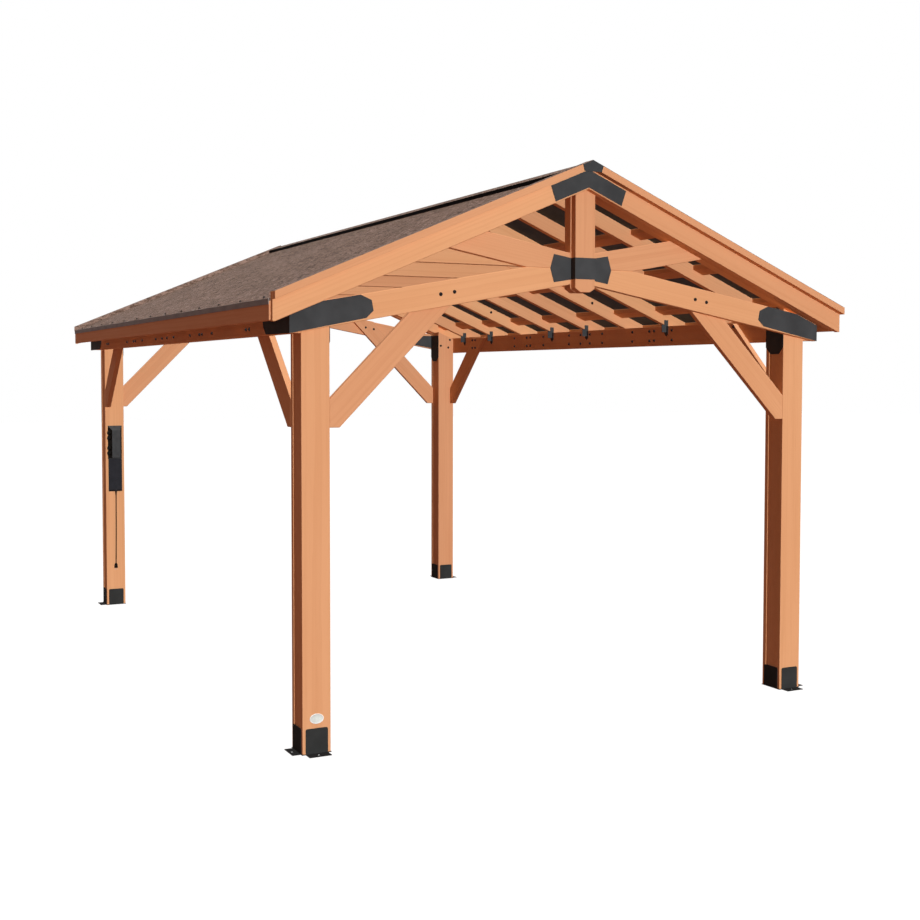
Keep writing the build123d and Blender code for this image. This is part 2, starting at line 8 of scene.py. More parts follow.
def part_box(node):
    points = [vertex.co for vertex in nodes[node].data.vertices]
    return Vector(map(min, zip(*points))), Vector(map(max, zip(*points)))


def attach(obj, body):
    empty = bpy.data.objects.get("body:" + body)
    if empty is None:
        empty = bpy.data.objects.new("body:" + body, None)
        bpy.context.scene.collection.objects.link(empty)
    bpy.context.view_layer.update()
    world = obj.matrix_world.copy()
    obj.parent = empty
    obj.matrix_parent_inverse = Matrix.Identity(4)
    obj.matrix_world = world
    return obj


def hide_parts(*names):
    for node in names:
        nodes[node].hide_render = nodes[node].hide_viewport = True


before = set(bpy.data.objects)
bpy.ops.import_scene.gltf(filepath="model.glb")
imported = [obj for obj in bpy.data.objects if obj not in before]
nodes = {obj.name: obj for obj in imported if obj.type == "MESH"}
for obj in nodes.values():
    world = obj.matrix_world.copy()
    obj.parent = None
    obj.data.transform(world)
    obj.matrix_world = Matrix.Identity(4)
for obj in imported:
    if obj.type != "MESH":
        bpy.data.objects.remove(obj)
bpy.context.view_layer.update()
sides = {"left": -1, "right": 1}
ends = {"front": -1, "back": 1}

# Lines of the construction that the looks follow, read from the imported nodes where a
# node's box shows them, and otherwise as in the part's source
lines = {
    "pitch": 5 / 12,
    "postX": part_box("side_beam_right")[0].x,  # outer face of the posts
    "postY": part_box("post_back_right")[1].y,
    "postSize": 0.14,
    "beamOuter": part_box("side_beam_right")[1].x,
    "beamBottom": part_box("side_beam_right")[0].z,
    "chordFace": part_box("upper_struts_back")[1].y,
    "chordAngle": 10.12,
    "chordDrop": 0.0028,  # its lower edge lies this far under the beam's outer corner
    "braceThick": 0.032,
    "sheetTop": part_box("roof_sheet_right")[1].z,  # top of the sheet at the ridge
    "sheetDeep": 0.0135,
    "eaveX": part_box("roof_sheet_right")[1].x,
    "rafterLevel": 2.698,  # underside of the rafters, carried on to the ridge
    "rafterSpacing": 0.4669,
    "rafterHalf": 0.019,
    "middleRafter": 4,
}


def link(name, mesh):
    piece = bpy.data.objects.new(name, mesh)
    bpy.context.scene.collection.objects.link(piece)
    return piece


# Gives a finished piece its body and hides the nodes that it stands for
def place(piece, slot, *stands):
    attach(piece, "root")
    if stands:
        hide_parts(*stands)
    return piece


def roofZ(level, x):
    return level - lines["pitch"] * abs(x)


# Camera at the photograph's viewing angle
view = {
    "place": (-3.5169, -7.6711, 1.7629),
    "down": 2.425,  # degrees below level
    "right": 25.744,  # degrees from the ridge line
    "lens": 49.62,
    "sensor": 36,
    "shiftX": 0.0427,
    "shiftY": -0.0343,
    "reach": 200,
}


def addCamera():
    data = bpy.data.cameras.new("camera")
    data.lens = view["lens"]
    data.sensor_width = view["sensor"]
    data.shift_x = view["shiftX"]
    data.shift_y = view["shiftY"]
    data.clip_end = view["reach"]
    camera = bpy.data.objects.new("camera", data)
    camera.location = view["place"]
    camera.rotation_euler = (math.radians(90 - view["down"]), 0, -math.radians(view["right"]))
    bpy.context.scene.collection.objects.link(camera)
    bpy.context.scene.camera = camera


nodeGrid = {"across": 190, "down": 240, "columns": 10}


# Adds a node to a shader or geometry tree. Values go to its inputs, as numbers or as
# links, and settings to the node itself
def addNode(tree, kind, values=None, **settings):
    node = tree.nodes.new(kind)
    row, column = divmod(len(tree.nodes), nodeGrid["columns"])
    node.location = (nodeGrid["across"] * column, -nodeGrid["down"] * row)
    for key, value in settings.items():
        setattr(node, key, value)
    for key, value in (values or {}).items():
        if isinstance(value, bpy.types.NodeSocket):
            tree.links.new(value, node.inputs[key])
        else:
            node.inputs[key].default_value = value
    return node


def calc(tree, operation, first, second=0.0, third=0.0):
    values = {0: first, 1: second, 2: third}
    return addNode(tree, "ShaderNodeMath", values, operation=operation).outputs[0]


# A material's tree, with short ways to add the nodes used here
class Shader:
    def __init__(self, name):
        self.material = bpy.data.materials.new(name)
        self.material.use_nodes = True
        self.tree = self.material.node_tree
        self.tree.nodes.clear()
        self.output = addNode(self.tree, "ShaderNodeOutputMaterial")

    def add(self, kind, values=None, **settings):
        return addNode(self.tree, kind, values, **settings)

    def calc(self, operation, first, second):
        return calc(self.tree, operation, first, second)

    def attribute(self, name, socket):
        return self.add("ShaderNodeAttribute", attribute_name=name).outputs[socket]

    def objectSpot(self):
        return self.add("ShaderNodeTexCoord").outputs["Object"]

    def noise(self, vector, scale, detail=3, rough=0.5):
        values = {"Vector": vector, "Scale": scale, "Detail": detail, "Roughness": rough}
        return self.add("ShaderNodeTexNoise", values).outputs["Fac"]

    def cells(self, vector, size):
        values = {"Vector": vector, "Scale": 1 / size}
        colour = self.add("ShaderNodeTexVoronoi", values).outputs["Color"]
        return self.add("ShaderNodeSeparateColor", {0: colour}).outputs[0]

    def scaled(self, vector, factors):
        values = {"Vector": vector, "Scale": factors}
        return self.add("ShaderNodeMapping", values).outputs["Vector"]

    def spread(self, value, low, high, toLow=0.0, toHigh=1.0):
        values = {"Value": value, "From Min": low, "From Max": high}
        values.update({"To Min": toLow, "To Max": toHigh})
        return self.add("ShaderNodeMapRange", values).outputs["Result"]

    def mix(self, factor, first, second):
        values = {0: factor, 6: first, 7: second}
        return self.add("ShaderNodeMix", values, data_type="RGBA").outputs[2]

    def bump(self, height, strength, distance):
        values = {"Height": height, "Strength": strength, "Distance": distance}
        return self.add("ShaderNodeBump", values).outputs["Normal"]

    def surface(self, colour, rough, normal, specular):
        values = {"Base Color": colour, "Roughness": rough, "Normal": normal}
        values["Specular IOR Level"] = specular
        shader = self.add("ShaderNodeBsdfPrincipled", values)
        self.tree.links.new(shader.outputs["BSDF"], self.output.inputs["Surface"])
        return self.material


def tone(red, green, blue):
    return (red, green, blue, 1.0)


# Stained softwood. "grain" holds each board's own coordinates, X along the fibres
# and zero at the heart of the tree, and "board" a number from 0 to 1 for each board
timberLook = {
    "light": tone(0.74, 0.395, 0.205),
    "middle": tone(0.685, 0.348, 0.173),
    "dark": tone(0.575, 0.250, 0.109),
    "fibre": tone(0.50, 0.204, 0.086),
    "ringWidth": 0.0085,
    "ringStretch": (0.02, 1.0, 1.0),
    "sway": 0.05,  # how far the rings wander
    "swayStretch": (0.8, 6.0, 6.0),
    "patchStretch": (0.55, 5.0, 5.0),
    "streakStretch": (0.9, 42.0, 42.0),
    "fibreStretch": (5.0, 260.0, 260.0),
    "ringShare": 0.20,  # how much rings, streaks and fibres darken the colour
    "streakShare": 0.20,
    "fibreShare": 0.28,
    "boardValue": (0.93, 1.06),  # from one board to the next
    "boardHue": (0.496, 0.503),
    "relief": 0.0006,
    "roughness": (0.70, 0.85),
    "specular": 0.006,
}


def timberMaterial():
    s = Shader("cedarStain")
    grain = s.attribute("grain", "Vector")
    board = s.attribute("board", "Fac")
    patches = s.noise(s.scaled(grain, timberLook["patchStretch"]), 1.0, 3, 0.55)
    sway = s.noise(s.scaled(grain, timberLook["swayStretch"]), 1.0, 2)
    sway = s.add("ShaderNodeCombineXYZ", {"Y": s.calc("MULTIPLY", sway, timberLook["sway"])})
    values = {0: s.scaled(grain, timberLook["ringStretch"]), 1: sway.outputs[0]}
    swayed = s.add("ShaderNodeVectorMath", values, operation="ADD").outputs[0]
    rings = s.add(
        "ShaderNodeTexWave",
        {
            "Vector": swayed,
            "Scale": 2 * math.pi / (20 * timberLook["ringWidth"]),
            "Distortion": 1.6,
            "Detail": 2.0,
            "Detail Scale": 1.2,
        },
        wave_type="RINGS",
        rings_direction="X",
        wave_profile="SAW",
    ).outputs["Fac"]
    fibres = s.noise(s.scaled(grain, timberLook["fibreStretch"]), 1.0, 4, 0.65)
    streaks = s.noise(s.scaled(grain, timberLook["streakStretch"]), 1.0, 3, 0.6)
    base = s.mix(s.spread(patches, 0.3, 0.7), timberLook["middle"], timberLook["light"])
    late = s.calc("MULTIPLY", s.spread(rings, 0.55, 1.0), timberLook["ringShare"])
    base = s.mix(late, base, timberLook["dark"])
    thin = s.calc("MULTIPLY", s.spread(streaks, 0.56, 0.72), timberLook["streakShare"])
    base = s.mix(thin, base, timberLook["dark"])
    fine = s.calc("MULTIPLY", s.spread(fibres, 0.58, 0.75), timberLook["fibreShare"])
    base = s.mix(fine, base, timberLook["fibre"])
    value = s.spread(board, 0.0, 1.0, *timberLook["boardValue"])
    hue = s.spread(board, 0.0, 1.0, *timberLook["boardHue"])
    values = {"Hue": hue, "Value": value, "Color": base}
    colour = s.add("ShaderNodeHueSaturation", values).outputs["Color"]
    rough = s.spread(streaks, 0.3, 0.7, *timberLook["roughness"])
    lift = s.calc("ADD", s.calc("MULTIPLY", rings, 0.35), fibres)
    normal = s.bump(lift, 0.30, timberLook["relief"])
    return s.surface(colour, rough, normal, timberLook["specular"])


# Powder coat or paint on steel, with a fine texture
coatLook = {
    "roughness": 0.70,
    "specular": 0.004,
    "fine": 900,
    "cloud": 9,
    "lighter": 1.35,
    "duller": 0.05,
    "rougher": 0.08,
    "relief": 0.0002,
}


def coatMaterial(name, colour, roughness=coatLook["roughness"], specular=coatLook["specular"]):
    s = Shader(name)
    spot = s.objectSpot()
    fine = s.noise(spot, coatLook["fine"], 2)
    cloud = s.spread(s.noise(spot, coatLook["cloud"]), 0.3, 0.7)
    lighter = tone(*[min(1, c * coatLook["lighter"]) for c in colour[:3]])
    shade = s.mix(cloud, colour, lighter)
    low = roughness - coatLook["duller"]
    high = roughness + coatLook["rougher"]
    rough = s.spread(cloud, 0.0, 1.0, low, high)
    return s.surface(shade, rough, s.bump(fine, 0.25, coatLook["relief"]), specular)


# Stone granules in a brown grey coating
granuleLook = {
    "pale": tone(0.335, 0.232, 0.186),
    "middle": tone(0.135, 0.088, 0.066),
    "deep": tone(0.014, 0.009, 0.006),
    "size": 0.006,
    "clump": 0.0095,
    "drawn": 0.35,  # clumps are drawn out down the slope
    "gritShare": 0.4,  # the rest of the shade comes from the clumps
    "cloud": 3.5,
    "cloudShare": 0.06,
    "roughness": (0.7, 0.95),
    "relief": 0.0008,
    "specular": 0.04,
}


# paler lifts the whole shade; its large value on the rake flashings' sides is a painted sheen
def granuleMaterial(name, paler=0.0):
    s = Shader(name)
    spot = s.objectSpot()
    grit = s.cells(spot, granuleLook["size"])
    mass = s.cells(s.scaled(spot, (granuleLook["drawn"], 1.0, 1.0)), granuleLook["clump"])
    share = granuleLook["gritShare"]
    both = s.calc("ADD", s.calc("MULTIPLY", grit, share), s.calc("MULTIPLY", mass, 1 - share))
    low = paler - granuleLook["cloudShare"]
    high = paler + granuleLook["cloudShare"]
    cloud = s.noise(spot, granuleLook["cloud"])
    both = s.calc("ADD", both, s.spread(cloud, 0.3, 0.7, low, high))
    shade = s.mix(s.spread(both, 0.12, 0.5), granuleLook["deep"], granuleLook["middle"])
    shade = s.mix(s.spread(both, 0.55, 0.95), shade, granuleLook["pale"])
    rough = s.spread(grit, 0.0, 1.0, *granuleLook["roughness"])
    normal = s.bump(grit, 0.6, granuleLook["relief"])
    return s.surface(shade, rough, normal, granuleLook["specular"])


plasticLook = {
    "fine": 1600,
    "marks": 30,
    "darker": 0.8,
    "roughSpread": 0.06,
    "grit": 0.12,
    "relief": 0.0001,
}


def plasticMaterial(name, colour, roughness, specular, grit=plasticLook["grit"]):
    s = Shader(name)
    spot = s.objectSpot()
    fine = s.noise(spot, plasticLook["fine"], 2)
    marks = s.noise(spot, plasticLook["marks"], 4, 0.6)
    darker = tone(*[c * plasticLook["darker"] for c in colour[:3]])
    shade = s.mix(s.spread(marks, 0.35, 0.65), darker, colour)
    low = roughness - plasticLook["roughSpread"]
    high = roughness + plasticLook["roughSpread"]
    rough = s.spread(marks, 0.3, 0.7, low, high)
    return s.surface(shade, rough, s.bump(fine, grit, plasticLook["relief"]), specular)


# Each finish with its colour, roughness and shine, and the looks of painted shade and painted
# sheen noted below
looks = {
    "timber": timberMaterial(),
    "steel": coatMaterial("blackPowderCoat", tone(0.048, 0.053, 0.056)),
    "dripEdge": coatMaterial("greyEdgePaint", tone(0.215, 0.215, 0.215), 0.7, 0.01),
    "underside": coatMaterial("darkUnderside", tone(0.085, 0.110, 0.125), 0.7, 0.02),
    # near-black painted shade for the ridge cap's faces that don't face up, its shaded hollow
    # sides
    "ridgePaintedShade": coatMaterial("blackPaintedShadeOfRidge", tone(0.008, 0.007, 0.007)),
    "roof": granuleMaterial("roofGranules"),
    "flashing": granuleMaterial("flashingGranules", 0.04),
    "bolt": coatMaterial("blackZincBolt", tone(0.022, 0.020, 0.020), 0.6, 0.03),
    "housing": plasticMaterial("housingPlastic", tone(0.060, 0.066, 0.069), 0.5, 0.04),
    # black of the socket covers and the panel's foot, also painted shade on the socket box's steep
    # sides
    "cover": plasticMaterial("blackPlasticAndPaintedShade", tone(0.009, 0.008, 0.007), 0.6, 0.03),
    "panel": plasticMaterial("panelPlastic", tone(0.027, 0.029, 0.035), 0.55, 0.03),
    "cable": plasticMaterial("cableSheath", tone(0.008, 0.006, 0.005), 0.6, 0.04, 0.05),
    "blade": coatMaterial("nickelBlade", tone(0.52, 0.50, 0.46), 0.3, 0.5),
    "oval": plasticMaterial("ovalEnamel", tone(0.74, 0.83, 0.80), 0.35, 0.2, 0.02),
    "ovalRim": plasticMaterial("ovalRim", tone(0.92, 0.97, 0.95), 0.35, 0.2, 0.02),
    "shoe": coatMaterial("shoePowderCoat", tone(0.031, 0.034, 0.034)),
    # darker copy of the shoe coat on the shoes' up-facing faces, a painted shade
    "paintedShadeShoeTop": coatMaterial("shoeCoatPaintedShade", tone(0.016, 0.016, 0.016)),
    # paler granules on the rake flashings' faces that don't face up, a painted sheen like the
    # roof's grazing reflection
    "rakePaintedSheen": granuleMaterial("paintedSheenRakeGranules", 0.30),
}
print("materials")

# Soft light and a plain pale floor, white to the camera. The key lamp casts no shadow
studio = {
    "key": {"strength": 3.44, "angle": 6, "azimuth": 0, "height": 45, "shadow": False},
    "front": {"strength": 0.20, "angle": 30, "azimuth": 4, "height": 12},
    "top": {"strength": 0.35, "angle": 50, "azimuth": 20, "height": 80},
    "right": {"strength": 0.9, "angle": 40, "azimuth": 90, "height": 20},
    "back": {"strength": 1.1, "angle": 40, "azimuth": 180, "height": 15},
    "fill": 0.16,
    "fillColour": tone(1.0, 0.46, 0.33),
    "floorBounce": 0.20,
    "floorShade": 0.30,  # how much of its shading the camera sees on the floor
    "floorColour": tone(0.95, 0.95, 0.95),
    "floorWhite": 1.07,
    "floorHalf": 40.0,
}


# A soft sun from the right of the front by its azimuth, and up by its height
def addLight(name, strength, angle, azimuth, height, shadow=True):
    data = bpy.data.lights.new(name, "SUN")
    data.energy = strength
    data.use_shadow = shadow
    data.angle = math.radians(angle)
    lamp = bpy.data.objects.new(name, data)
    turn = math.radians(azimuth)
    level = math.cos(math.radians(height))
    rise = math.sin(math.radians(height))
    source = Vector((math.sin(turn) * level, -math.cos(turn) * level, rise))
    lamp.rotation_euler = source.to_track_quat("Z", "Y").to_euler()
    bpy.context.scene.collection.objects.link(lamp)


# 1 for what the camera sees, also in a reflection or through glass, and 0 for light
# that goes on to other surfaces
def seenDirectly(tree):
    path = addNode(tree, "ShaderNodeLightPath").outputs
    shiny = calc(tree, "MAXIMUM", path["Is Glossy Ray"], path["Is Transmission Ray"])
    return calc(tree, "MAXIMUM", path["Is Camera Ray"], shiny)


def addWorld():
    world = bpy.data.worlds.new("studio")
    world.use_nodes = True
    tree = world.node_tree
    seen = seenDirectly(tree)
    values = {"Value": seen, "To Min": studio["fill"], "To Max": 1.0}
    strength = addNode(tree, "ShaderNodeMapRange", values).outputs["Result"]
    values = {0: seen, 6: studio["fillColour"], 7: tone(1, 1, 1)}
    colour = addNode(tree, "ShaderNodeMix", values, data_type="RGBA").outputs[2]
    back = tree.nodes["Background"]
    tree.links.new(colour, back.inputs["Color"])
    tree.links.new(strength, back.inputs["Strength"])
    bpy.context.scene.world = world


def addFloor():
    half = studio["floorHalf"]
    corners = [(-half, -half, 0), (half, -half, 0), (half, half, 0), (-half, half, 0)]
    mesh = bpy.data.meshes.new("floor")
    mesh.from_pydata(corners, [], [(0, 1, 2, 3)])
    floor = link("floor", mesh)
    s = Shader("paleFloor")
    bounced = tone(*[c * studio["floorBounce"] for c in studio["fillColour"][:3]])
    bounce = s.add("ShaderNodeBsdfDiffuse", {"Color": bounced})
    shade = s.add("ShaderNodeBsdfDiffuse", {"Color": studio["floorColour"]})
    white = s.add("ShaderNodeEmission", {"Strength": studio["floorWhite"]})
    values = {0: studio["floorShade"], 1: white.outputs[0], 2: shade.outputs[0]}
    seen = s.add("ShaderNodeMixShader", values)
    values = {0: seenDirectly(s.tree), 1: bounce.outputs[0], 2: seen.outputs[0]}
    either = s.add("ShaderNodeMixShader", values)
    s.tree.links.new(either.outputs[0], s.output.inputs["Surface"])
    mesh.materials.append(s.material)


addCamera()
for name in ("key", "front", "top", "right", "back"):
    addLight(name, **studio[name])
addWorld()
addFloor()
bpy.context.scene.view_settings.view_transform = "Standard"
print("camera and studio")


def finishMesh(name, bm, *materials):
    bmesh.ops.recalc_face_normals(bm, faces=bm.faces)
    mesh = bpy.data.meshes.new(name)
    bm.to_mesh(mesh)
    bm.free()
    for material in materials:
        mesh.materials.append(material)
    return link(name, mesh)


def easeEdges(bm, width, rings=2, sharp=30):
    edges = []
    for edge in bm.edges:
        if len(edge.link_faces) == 2 and edge.is_convex:
            if edge.calc_face_angle(0) > math.radians(sharp):
                edges.append(edge)
    bmesh.ops.bevel(
        bm,
        geom=edges,
        offset=width,
        offset_type="OFFSET",
        segments=rings,
        profile=0.5,
        affect="EDGES",
        clamp_overlap=True,
    )


# Moves a finished solid into a larger mesh
def addSolid(bm, solid):
    spots = [bm.verts.new(vert.co) for vert in solid.verts]
    solid.verts.index_update()
    for face in solid.faces:
        bm.faces.new([spots[v.index] for v in face.verts])
    solid.free()


# Free cable from the socket box to its plug: the same points as its tube
cable = {
    "start": Vector((-1.4185, 2.0395, 0.873)),
    "bend": Vector((-1.4185, 2.0395, 0.600)),
    "end": Vector((-1.4235, 2.0395, 0.324)),
    "diameter": 0.008,
    "length": 0.549,
    "relief": {"length": 0.030, "top": 0.0072, "low": 0.0046, "ribs": 4},
    "groove": (0.0012, 0.0014, 0.0002),  # how far its ribs step in, and back out
    "plug": {"width": 0.027, "depth": 0.022, "height": 0.038, "ease": 0.005},
    "plugNarrow": 0.72,  # its end at the cable
    "neck": {"length": 0.012, "low": 0.0075, "top": 0.0046},
    "blade": {"thick": 0.0016, "wide": 0.007, "long": 0.0175, "apart": 0.0127},
}


def cableCurve():
    curve = bpy.data.curves.new("powerCable", "CURVE")
    curve.dimensions = "3D"
    curve.bevel_depth = cable["diameter"] / 2
    curve.bevel_resolution = 5
    curve.resolution_u = 12
    curve.use_fill_caps = True
    spline = curve.splines.new("NURBS")
    points = (cable["start"], cable["bend"], cable["end"])
    spline.points.add(len(points) - 1)
    for point, spot in zip(spline.points, points):
        point.co = (*spot, 1.0)
    spline.order_u = 3
    spline.use_endpoint_u = True
    curve.materials.append(looks["cable"])
    return link("powerCable", curve)


# Round sleeve along a line from a list of (distance, radius)
def sleeve(bm, start, direction, profile, around=20):
    turn = direction.to_track_quat("Z", "Y").to_matrix()
    rings = []
    for distance, radius in profile:
        ring = []
        for i in range(around):
            angle = 2 * math.pi * i / around
            spot = Vector((radius * math.cos(angle), radius * math.sin(angle), distance))
            ring.append(bm.verts.new(start + turn @ spot))
        rings.append(ring)
    for low, high in zip(rings, rings[1:]):
        for i in range(around):
            j = (i + 1) % around
            bm.faces.new((low[i], low[j], high[j], high[i]))
    bm.faces.new(reversed(rings[0]))
    bm.faces.new(rings[-1])


# Ribbed strain relief where the cable leaves the box
def reliefPiece():
    sizes = cable["relief"]
    bm = bmesh.new()
    down = (cable["bend"] - cable["start"]).normalized()
    lip, groove, rest = cable["groove"]
    step = sizes["length"] / sizes["ribs"] / 4
    profile = [(0.0, sizes["top"])]
    for i in range(sizes["ribs"]):
        near = sizes["length"] * (i + 0.4) / sizes["ribs"]
        radius = sizes["top"] + (sizes["low"] - sizes["top"]) * near / sizes["length"]
        profile += [(near, radius), (near + 0.1 * step, radius - lip)]
        profile += [(near + step, radius - groove), (near + 1.1 * step, radius - rest)]
    profile.append((sizes["length"], sizes["low"]))
    sleeve(bm, cable["start"], down, profile)
    return finishMesh("cableRelief", bm, looks["cable"])


def plugPiece():
    sizes = cable["plug"]
    down = (cable["end"] - cable["bend"]).normalized()
    body = bmesh.new()
    bmesh.ops.create_cube(body, size=1.0)
    gap = 0.002  # between the cable's end and the body of the plug
    body.transform(Matrix.Diagonal((sizes["width"], sizes["depth"], sizes["height"] - 2 * gap, 1)))
    for vert in body.verts:
        if vert.co.z < 0:
            vert.co.x *= cable["plugNarrow"]
            vert.co.y *= cable["plugNarrow"]
    easeEdges(body, sizes["ease"], 4)
    middle = cable["end"] + down * (sizes["height"] / 2 + gap)
    axes = Matrix((Vector((1, 0, 0)), down.cross(Vector((1, 0, 0))), down)).transposed()
    body.transform(Matrix.Translation(middle) @ axes.to_4x4())
    bm = bmesh.new()
    addSolid(bm, body)
    neck = cable["neck"]
    profile = [(0.0, neck["top"]), (0.004, neck["top"] + 0.0008), (neck["length"], neck["low"])]
    sleeve(bm, cable["end"], down, profile)
    return finishMesh("cablePlug", bm, looks["cable"])


def bladePiece():
    sizes = cable["blade"]
    bm = bmesh.new()
    down = (cable["end"] - cable["bend"]).normalized()
    foot = cable["end"] + down * (cable["plug"]["height"] - 0.001)
    for side in (-1, 1):
        blade = bmesh.new()
        bmesh.ops.create_cube(blade, size=1.0)
        blade.transform(Matrix.Diagonal((sizes["thick"], sizes["wide"], sizes["long"], 1)))
        easeEdges(blade, 0.0005)
        spot = foot + Vector((side * sizes["apart"] / 2, 0, 0)) + down * sizes["long"] / 2
        blade.transform(Matrix.Translation(spot))
        addSolid(bm, blade)
    return finishMesh("plugBlades", bm, looks["blade"])


def addCable():
    plug = place(plugPiece(), "plug", "power_plug")
    blades = place(bladePiece(), "plug")
    relief = place(reliefPiece(), "cable")
    flex = place(cableCurve(), "cable", "power_cord")
    tuple(cable["start"])


addCable()
print("cable and plug")


# A copy of a node as clean solids, one small mesh for each board or plate
def solidsOf(node):
    whole = bmesh.new()
    whole.from_mesh(nodes[node].data)
    bmesh.ops.remove_doubles(whole, verts=whole.verts, dist=0.00001)
    bmesh.ops.dissolve_limit(
        whole, angle_limit=math.radians(0.5), verts=whole.verts, edges=whole.edges
    )
    left = set(whole.verts)
    groups = []
    while left:
        start = min(left, key=lambda v: v.index)
        group = {start}
        reach = [start]
        while reach:
            vert = reach.pop()
            for edge in vert.link_edges:
                other = edge.other_vert(vert)
                if other not in group:
                    group.add(other)
                    reach.append(other)
        left -= group
        groups.append(group)
    solids = []
    for group in groups:
        solid = bmesh.new()
        copies = {}
        for vert in sorted(group, key=lambda v: v.index):
            copies[vert] = solid.verts.new(vert.co)
        for face in whole.faces:
            if face.verts[0] in group:
                solid.faces.new([copies[v] for v in face.verts])
        solids.append(solid)
    whole.free()
    return solids


# Directions of a board: along its longest edge, across its widest face, and through it
def boardAxes(solid):
    longest = max(solid.edges, key=lambda e: e.calc_length())
    along = (longest.verts[0].co - longest.verts[1].co).normalized()
    wide = None
    for face in sorted(solid.faces, key=lambda f: -f.calc_area()):
        if abs(face.normal.dot(along)) < 0.01:
            wide = face.normal.copy()
            break
    return along, wide.cross(along), wide


boardLook = {
    "ease": 0.0025,  # rounded arris of a planed board
    "trimEase": 0.0008,
    "start": 40,  # boards are cut from anywhere along this length of grain
    "aside": 0.05,
    "heart": (0.05, 0.17),  # how far the heart of the tree lies from the board
    "seed": 20,
}
dice = random.Random(boardLook["seed"])


# Replaces a timber node by the same boards with eased edges and their own grain
def dressTimber(node, slot="timber", ease=boardLook["ease"]):
    mesh = bpy.data.meshes.new(node + ".boards")
    bm = bmesh.new()
    grain = []
    tones = []
    for solid in solidsOf(node):
        bmesh.ops.recalc_face_normals(solid, faces=solid.faces)
        along, across, wide = boardAxes(solid)
        middle = sum((v.co for v in solid.verts), Vector()) / len(solid.verts)
        start = dice.uniform(0, boardLook["start"])
        heart = dice.uniform(*boardLook["heart"]) * dice.choice((-1, 1))
        aside = dice.uniform(-boardLook["aside"], boardLook["aside"])
        board = dice.random()
        easeEdges(solid, ease)
        for vert in solid.verts:
            spot = vert.co - middle
            grain += [
                spot.dot(along) + start,
                spot.dot(across) + aside,
                spot.dot(wide) + heart,
            ]
            tones.append(board)
        addSolid(bm, solid)
    bm.to_mesh(mesh)
    bm.free()
    mesh.attributes.new("grain", "FLOAT_VECTOR", "POINT").data.foreach_set("vector", grain)
    mesh.attributes.new("board", "FLOAT", "POINT").data.foreach_set("value", tones)
    mesh.materials.append(looks["timber"])
    return place(link(node + ".boards", mesh), slot, node)


# Rounded edges of metal and plastic, and the rings that round them
softened = {
    "plate": (0.0006, 2),
    "clip": (0.0005, 2),
    "flashing": (0.0003, 1),
    "ridge": (0.0012, 2),
    "box": (0.0025, 3),
    "strip": (0.0003, 1),
}


# Replaces a metal or plastic node by the same shape with softened edges. What faces
# up may have a look of its own: a darker painted shade on the post shoes' tops, and the
# granules on the ridge cap and rake flashings, whose other faces then carry painted shade
# on the ridge cap and a painted sheen on the rake flashings
def dressHard(node, look, slot, edge="plate", upLook=None):
    bm = bmesh.new()
    for solid in solidsOf(node):
        bmesh.ops.recalc_face_normals(solid, faces=solid.faces)
        easeEdges(solid, *softened[edge])
        addSolid(bm, solid)
    bm.normal_update()
    if upLook:
        for face in bm.faces:
            face.material_index = 1 if face.normal.z > 0.5 else 0
    mesh = bpy.data.meshes.new(node + ".dressed")
    bm.to_mesh(mesh)
    bm.free()
    mesh.materials.append(looks[look])
    if upLook:
        mesh.materials.append(looks[upLook])
    return place(link(node + ".dressed", mesh), slot, node)


timberNodes = ["side_beam_left", "side_beam_right", "collar_ties"]
timberNodes += [f"{kind}_{side}" for kind in ("rafters", "blocking", "fascia") for side in sides]
for end in ends:
    for kind in ("lower_chords", "upper_struts", "king_post", "truss_rafters", "gable_rafters"):
        timberNodes.append(f"{kind}_{end}")
    timberNodes.append(f"barge_boards_{end}")
    for side in sides:
        timberNodes += [f"post_{end}_{side}", f"knee_braces_{end}_{side}"]
for node in timberNodes:
    dressTimber(node)
for end in ends:
    dressTimber(f"barge_trims_{end}", "timber_trim", boardLook["trimEase"])
print("boards")

for end in ends:
    for kind in ("heel_plates", "corner_plates", "king_tie", "peak_plates"):
        dressHard(f"{kind}_{end}", "steel", "steel")
    # the shoes' up-facing faces take a darker copy of their coat as painted shade
    for side in sides:
        dressHard(f"post_shoe_{end}_{side}", "shoe", "steel", upLook="paintedShadeShoeTop")
for side in sides:
    dressHard(f"rafter_clips_{side}", "steel", "steel", "clip")
print("plates and shoes")


def nodeGroup(name, sockets):
    tree = bpy.data.node_groups.new(name, "GeometryNodeTree")
    tree.interface.new_socket("Geometry", in_out="INPUT", socket_type="NodeSocketGeometry")
    for title, kind in sockets.items():
        tree.interface.new_socket(title, in_out="INPUT", socket_type="NodeSocket" + kind)
    tree.interface.new_socket("Geometry", in_out="OUTPUT", socket_type="NodeSocketGeometry")
    return tree


def join(tree, first, second):
    both = addNode(tree, "GeometryNodeJoinGeometry")
    tree.links.new(first, both.inputs[0])
    tree.links.new(second, both.inputs[0])
    return both.outputs[0]


# Runs a tree on a piece with these inputs and keeps the result as a plain mesh
def settle(piece, tree, inputs):
    modifier = piece.modifiers.new(tree.name, "NODES")
    modifier.node_group = tree
    for item in tree.interface.items_tree:
        if item.in_out == "INPUT" and item.name in inputs:
            modifier[item.identifier] = inputs[item.name]
    bpy.context.view_layer.update()
    made = piece.evaluated_get(bpy.context.evaluated_depsgraph_get())
    mesh = bpy.data.meshes.new_from_object(made)
    piece.modifiers.remove(modifier)
    old = piece.data
    piece.data = mesh
    bpy.data.meshes.remove(old)
    return piece


ribSockets = {
    "Run": "Float",
    "Width": "Float",
    "Thick": "Float",
    "Pitch": "Float",
    "Rib": "Float",
    "Side": "Float",
    "Level": "Float",
    "Fall": "Float",
    "Top": "Material",
    "Under": "Material",
}


